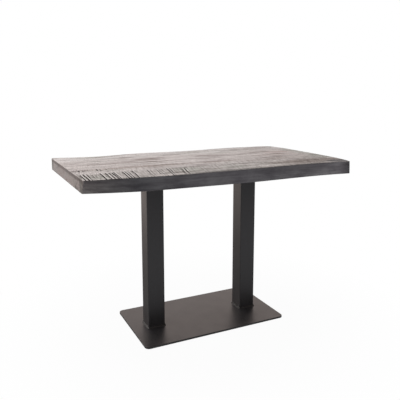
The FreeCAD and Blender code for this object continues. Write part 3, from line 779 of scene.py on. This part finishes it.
def weld_bead():
    """A bead round a square column that stands on a plate at the origin."""
    bead = ring_section()
    half_step = math.pi / RING_STEPS
    with editing(bead):
        bpy.ops.mesh.select_all(action="SELECT")
        bpy.ops.mesh.spin(steps=RING_STEPS, angle=2 * math.pi, center=(0, 0, 0), axis=(0, 0, 1))
        bpy.ops.mesh.select_all(action="SELECT")
        bpy.ops.mesh.remove_doubles(threshold=0.01 * MM)
        bpy.ops.transform.rotate(value=half_step, orient_axis="Z", center_override=(0, 0, 0))
    spread = (COLUMN_SIZE / 2 - COLUMN_ROUND) * MM
    for axis, side in ((0, 1), (0, -1), (1, 1), (1, -1)):
        select_points(bead, lambda place: side * place[axis] > 0)
        shift = [0, 0, 0]
        shift[axis] = side * spread
        with editing(bead):
            bpy.ops.transform.translate(value=shift)
    rows = np.arange(-spread / MM + RIPPLE_ROW / 2, spread / MM, RIPPLE_ROW)
    for axis in ((1, 0, 0), (0, 1, 0)):
        cut_rows(bead, axis, rows)
    with editing(bead):
        bpy.ops.mesh.select_all(action="SELECT")
        bpy.ops.mesh.normals_make_consistent(inside=False)
    x, y, z = (points_of(bead) / MM).T
    run = np.where(np.abs(x) > np.abs(y), y * np.sign(x), -x * np.sign(y))
    drop = run / RIPPLE_PITCH + 0.25 * np.cos(z * math.pi / WELD_LEG)
    on_face = (np.maximum(np.abs(x), np.abs(y)) > COLUMN_SIZE / 2 + 0.05) & (z > 0.05)
    press_in(bead, on_face * (0.5 + 0.5 * np.cos(2 * math.pi * drop)), RIPPLE_DEPTH * MM, "NORMAL")
    bpy.ops.object.shade_smooth_by_angle(angle=math.radians(50))
    return bead


bead_model = weld_bead()
print("one bead:", len(bead_model.data.polygons), "faces")

# %% [markdown]
# The same bead four times
#
# The bead is made once, at the origin, and copied to where the boxes of the two columns say that they start
# and end. At the heads it is turned upside down, because there the column meets its plate from below.

# %% Lay the four beads
def copy_at(model, name, place, turn=0.0):
    """A copy of a model with a mesh of its own, turned about X and moved, its place kept in the mesh."""
    piece = bpy.data.objects.new(name, model.data.copy())
    piece.location = place
    piece.rotation_euler.x = turn
    bpy.context.scene.collection.objects.link(piece)
    select_only(piece)
    bpy.ops.object.transform_apply(location=True, rotation=True, scale=True)
    return piece


def dress(piece, node, body, material):
    """Puts a finished piece in the place of a node: its body and its material."""
    piece.data.materials.clear()
    piece.data.materials.append(material)
    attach(piece, body)
    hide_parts(node)
    print(piece.name, "rides on", body, "with", len(piece.data.polygons), "faces")


for side in ("left", "right"):
    low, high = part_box(f"{side}_column")
    middle = (low + high) / 2
    for end, height, turn in (("foot", low.z, 0.0), ("head", high.z, math.pi)):
        bead = copy_at(bead_model, f"{side}_{end}_weld_bead", (middle.x, middle.y, height), turn)
        dress(bead, f"{side}_{end}_weld", "table", weld_coat_with_painted_shade)
bpy.data.objects.remove(bead_model)

# %% [markdown]
# Zinc and nylon
#
# The screws, washers and studs are steel with a bright zinc plating: a pale metal, slightly blue, that
# shows a fine cloudy crystal and is never quite even. The pads of the glides are moulded in black nylon
# with a fine sparked texture, dull because it scatters the light.

# %% Zinc and nylon
def zinc_plating():
    """Bright zinc plating on steel: metal, cloudy crystals of 2 mm, gloss that varies with them."""
    material, tree = new_material("bright zinc plating on steel")
    place = add(tree, "TexCoord").outputs["Object"]
    cells = add(tree, "Mapping", {"Vector": place, "Scale": [2 * MM] * 3}, vector_type="TEXTURE")
    crystals = add(tree, "TexVoronoi", {"Vector": cells.outputs[0], "Scale": 1.0})
    shade = add(tree, "ValToRGB", {"Fac": crystals.outputs["Distance"]}, stops=(
        (0.1, colour("#C9CDD1")), (0.8, colour("#AEB2B6"))))
    gloss = add(tree, "MapRange", {"Value": crystals.outputs["Distance"], "To Min": 0.24, "To Max": 0.40})
    zinc = add(tree, "BsdfPrincipled", {"Base Color": shade.outputs[0], "Roughness": gloss.outputs[0],
                                        "Metallic": 1.0})
    add(tree, "OutputMaterial", {"Surface": zinc.outputs[0]})
    return material


def moulded_nylon():
    """Moulded black nylon: dull, sparked texture, its grit of 0.1 mm drawn at 0.6 mm so that it shows."""
    material, tree = new_material("moulded black nylon")
    place = add(tree, "TexCoord").outputs["Object"]
    cells = add(tree, "Mapping", {"Vector": place, "Scale": [0.6 * MM] * 3}, vector_type="TEXTURE")
    grit = add(tree, "TexNoise", {"Vector": cells.outputs[0], "Scale": 1.0, "Detail": 2.0})
    shade = add(tree, "ValToRGB", {"Fac": grit.outputs["Fac"]}, stops=(
        (0.35, colour("#161618")), (0.65, colour("#222224"))))
    gloss = add(tree, "MapRange", {"Value": grit.outputs["Fac"], "To Min": 0.55, "To Max": 0.70})
    bump = add(tree, "Bump", {"Height": grit.outputs["Fac"], "Strength": 0.3, "Distance": 0.1 * MM})
    nylon = add(tree, "BsdfPrincipled", {"Base Color": shade.outputs[0], "Roughness": gloss.outputs[0],
                                         "Normal": bump.outputs[0], "IOR": 1.53})
    add(tree, "OutputMaterial", {"Surface": nylon.outputs[0]})
    return material


zinc, nylon = zinc_plating(), moulded_nylon()
for slot in nodes["top_screw_washers"].material_slots:
    slot.material = zinc
print("the washers keep their shape and wear", zinc.name)

# %% [markdown]
# Threads
#
# A thread is a groove that climbs as it goes round. Instead of a separate coil of metal, the plain shank
# gets close rows of points, and each point is pressed towards the axis by how far it is from the crest of
# the helix that passes it. That keeps the screw one closed skin.

# %% Turned pieces and threads
def turned_blank(name, sides, radius, height):
    """A cylinder that stands on the origin, the start of every turned piece below."""
    bpy.ops.object.select_all(action="DESELECT")
    bpy.ops.mesh.primitive_cylinder_add(vertices=sides, radius=radius * MM, depth=height * MM,
                                        location=(0, 0, height / 2 * MM))
    blank = bpy.context.object
    blank.name = name
    bpy.ops.object.transform_apply(location=True, rotation=True, scale=True)
    return blank


def select_flat(piece, height, up):
    """Selects the flat face on the axis, at a height in millimetres, that looks up, or down."""
    select_faces(piece, lambda centre, normal: abs(centre.z / MM - height) < 0.01 and normal.z * up > 0.9
                 and centre.xy.length < 0.1 * MM)


def ease_rim(piece, height, up, width, segments):
    """Rounds the rim of the flat face at a height."""
    select_flat(piece, height, up)
    with editing(piece):
        bpy.ops.mesh.region_to_loop()
        bpy.ops.mesh.bevel(offset=width * MM, segments=segments, affect="EDGES")


def step_from(piece, height, up, inset, *moves):
    """Insets the flat face at a height, then extrudes it by each move: how far up, and how much scaled."""
    select_flat(piece, height, up)
    with editing(piece):
        bpy.ops.mesh.inset(thickness=inset * MM, depth=0)
        for rise, scale in moves:
            height += rise
            bpy.ops.mesh.extrude_region_move(TRANSFORM_OT_translate={"value": (0, 0, rise * MM)})
            bpy.ops.transform.resize(value=(scale, scale, 1), center_override=(0, 0, height * MM))


def cut_thread(piece, low, high, row, pitch, radius, depth):
    """Presses a thread into the shank between two heights, running out towards its point."""
    cut_rows(piece, (0, 0, 1), np.arange(low, high, row))
    x, y, z = (points_of(piece) / MM).T
    from_axis = np.hypot(x, y)
    turn = (z / pitch - np.arctan2(y, x) / (2 * math.pi)) % 1.0
    valley = 1 - np.abs(2 * turn - 1)
    on_shank = (z > low) & (z < high + row) & (from_axis < radius + 0.1)
    press_in(piece, on_shank * valley * np.clip(from_axis / radius, 0, 1), depth * MM, "NORMAL")
    bpy.ops.object.shade_smooth_by_angle(angle=math.radians(40))


print("turning helpers ready")

# %% [markdown]
# The screws under the top
#
# Twelve wood screws hold the top down on the two head plates. They have a rounded pan head with a six-lobed
# socket for the driver. From a chair nobody sees them, but whoever turns the table over does.

# %% The wood screws
HEAD_RADIUS, HEAD_HEIGHT, HEAD_EASE, SHANK_RADIUS = 6.0, 4.0, 1.8, 3.0
SHANK_LENGTH, TIP_LENGTH, PLAIN_SHANK = 34.0, 6.0, 5.0
SCREW_PITCH, SCREW_GROOVE, SCREW_ROW = 3.0, 0.9, 0.5
SOCKET_RADIUS, SOCKET_DEPTH, SOCKET_LOBE = 1.9, 2.2, 1.28


def wood_screw():
    """One screw, standing on its head at the origin."""
    screw = turned_blank("wood_screw", 24, HEAD_RADIUS, HEAD_HEIGHT)
    ease_rim(screw, 0, -1, HEAD_EASE, 4)
    step_from(screw, 0, -1, HEAD_RADIUS - HEAD_EASE - SOCKET_RADIUS, (SOCKET_DEPTH, 1.0))
    select_points(screw, lambda place: place.xy.length < (SOCKET_RADIUS + 0.1) * MM
                  and place.z < HEAD_HEIGHT * MM and math.cos(6 * math.atan2(place.y, place.x)) > 0.3)
    with editing(screw):
        bpy.ops.transform.resize(value=(SOCKET_LOBE, SOCKET_LOBE, 1), center_override=(0, 0, 0))
    step_from(screw, HEAD_HEIGHT, 1, HEAD_RADIUS - SHANK_RADIUS, (SHANK_LENGTH, 1.0), (TIP_LENGTH, 0.02))
    cut_thread(screw, HEAD_HEIGHT + PLAIN_SHANK, HEAD_HEIGHT + SHANK_LENGTH + TIP_LENGTH - 0.3,
               SCREW_ROW, SCREW_PITCH, SHANK_RADIUS, SCREW_GROOVE)
    return screw


screw_model = wood_screw()
screw_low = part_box("top_screws")[0].z
tips = points_of(nodes["top_screws"])
tips = tips[tips[:, 2] > tips[:, 2].max() - 0.1 * MM]
spots = sorted({(round(float(x), 4), round(float(y), 4)) for x, y, _ in tips})
screws = [copy_at(screw_model, f"wood_screw_{number}", (x, y, screw_low))
          for number, (x, y) in enumerate(spots)]
select_only(*screws)
bpy.ops.object.join()
screws[0].name = "wood_screws"
dress(screws[0], "top_screws", "table", zinc)
bpy.data.objects.remove(screw_model)

# %% [markdown]
# The levelling glides
#
# A nylon pad stands on the floor at each corner of the base plate, and a threaded stud, turned in its
# tapped hole, sets its height. The pad has a ring groove in its sole, which keeps the wall even when it is
# moulded, and a hollow that the stud's head snaps into. Pad and stud each ride on their own body, because
# they move.

# %% Pads and studs
PAD_RADIUS, PAD_HEIGHT, PAD_EASE, PAD_RIM = 15.0, 4.7, 1.0, 0.4
SOLE_RIM, SOLE_GROOVE, GROOVE_DEPTH = 3.0, 3.0, 0.5
MOUTH_RADIUS, SEAT_RADIUS, SEAT_TOP, SEAT_FLOOR = 4.3, 7.3, 3.8, 1.2
STUD_HEAD_RADIUS, STUD_HEAD, STUD_EASE = 7.0, 2.0, 0.3
STUD_RADIUS, STUD_SHANK, STUD_TIP = 3.95, 6.7, 0.8
STUD_PITCH, STUD_GROOVE, STUD_ROW = 1.25, 0.65, 0.2


def glide_pad():
    """One pad, standing at the origin."""
    pad = turned_blank("glide_pad", 48, PAD_RADIUS, PAD_HEIGHT)
    ease_rim(pad, 0, -1, PAD_EASE, 3)
    ease_rim(pad, PAD_HEIGHT, 1, PAD_RIM, 2)
    step_from(pad, 0, -1, SOLE_RIM)
    step_from(pad, 0, -1, SOLE_GROOVE)
    inner = PAD_RADIUS - PAD_EASE - SOLE_RIM - SOLE_GROOVE
    select_faces(pad, lambda centre, normal: normal.z < -0.9
                 and inner < centre.xy.length / MM < inner + SOLE_GROOVE)
    with editing(pad):
        bpy.ops.mesh.extrude_region_move(TRANSFORM_OT_translate={"value": (0, 0, GROOVE_DEPTH * MM)})
    step_from(pad, PAD_HEIGHT, 1, PAD_RADIUS - PAD_RIM - MOUTH_RADIUS, (SEAT_TOP - PAD_HEIGHT, 1.0),
              (0, SEAT_RADIUS / MOUTH_RADIUS), (SEAT_FLOOR - SEAT_TOP, 1.0))
    select_only(pad)
    bpy.ops.object.shade_smooth_by_angle(angle=math.radians(35))
    return pad


def glide_stud():
    """One stud, standing on its head at the origin, with an M8 thread of 1.25 mm pitch."""
    stud = turned_blank("glide_stud", 32, STUD_HEAD_RADIUS, STUD_HEAD)
    ease_rim(stud, 0, -1, STUD_EASE, 2)
    ease_rim(stud, STUD_HEAD, 1, STUD_EASE, 2)
    step_from(stud, STUD_HEAD, 1, STUD_HEAD_RADIUS - STUD_EASE - STUD_RADIUS, (STUD_SHANK, 1.0),
              (STUD_TIP, 1 - STUD_TIP / STUD_RADIUS))
    cut_thread(stud, STUD_HEAD + 0.6, STUD_HEAD + STUD_SHANK + STUD_TIP - 0.1,
               STUD_ROW, STUD_PITCH, STUD_RADIUS, STUD_GROOVE)
    return stud


models = {"pad": (glide_pad(), "glide_plastic", nylon), "stud": (glide_stud(), "zinc_steel", zinc)}
for corner in ("front_left", "front_right", "back_left", "back_right"):
    for kind, (model, slot, finish) in models.items():
        low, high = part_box(f"glide_{kind}_{corner}")
        piece = copy_at(model, f"moulded_pad_{corner}" if kind == "pad" else f"threaded_stud_{corner}",
                        ((low.x + high.x) / 2, (low.y + high.y) / 2, low.z))
        dress(piece, f"glide_{kind}_{corner}", f"{kind}_{corner}", finish)
for model, _, _ in models.values():
    bpy.data.objects.remove(model)
